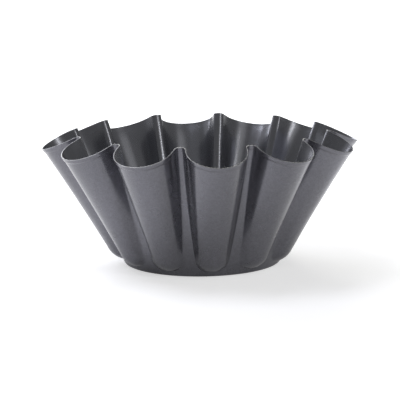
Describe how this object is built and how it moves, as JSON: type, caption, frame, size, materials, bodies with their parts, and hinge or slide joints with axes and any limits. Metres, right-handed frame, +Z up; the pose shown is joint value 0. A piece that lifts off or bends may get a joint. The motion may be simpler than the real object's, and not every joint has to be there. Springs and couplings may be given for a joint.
{
  "type": "brioche mould",
  "caption": "Open fluted baking mould for brioche: thin steel sheet pressed into a flared cup with a flat round base, rounded flutes, narrow ridges between them and a scalloped rim.",
  "frame": {"origin": "centre of the underside of the flat base", "axes": "+Z up through the open top along the mould's axis, +X through the crest of a flute"},
  "size_m": [0.22, 0.22, 0.093],
  "materials": {
    "nonstick_steel": "satin dark grey non-stick coating with a fine metallic mottle, smoother and glossier inside, bare bright line along the cut edge"
  },
  "bodies": {
    "root": {"mould_shell": "nonstick_steel"}
  },
  "joints": []
}
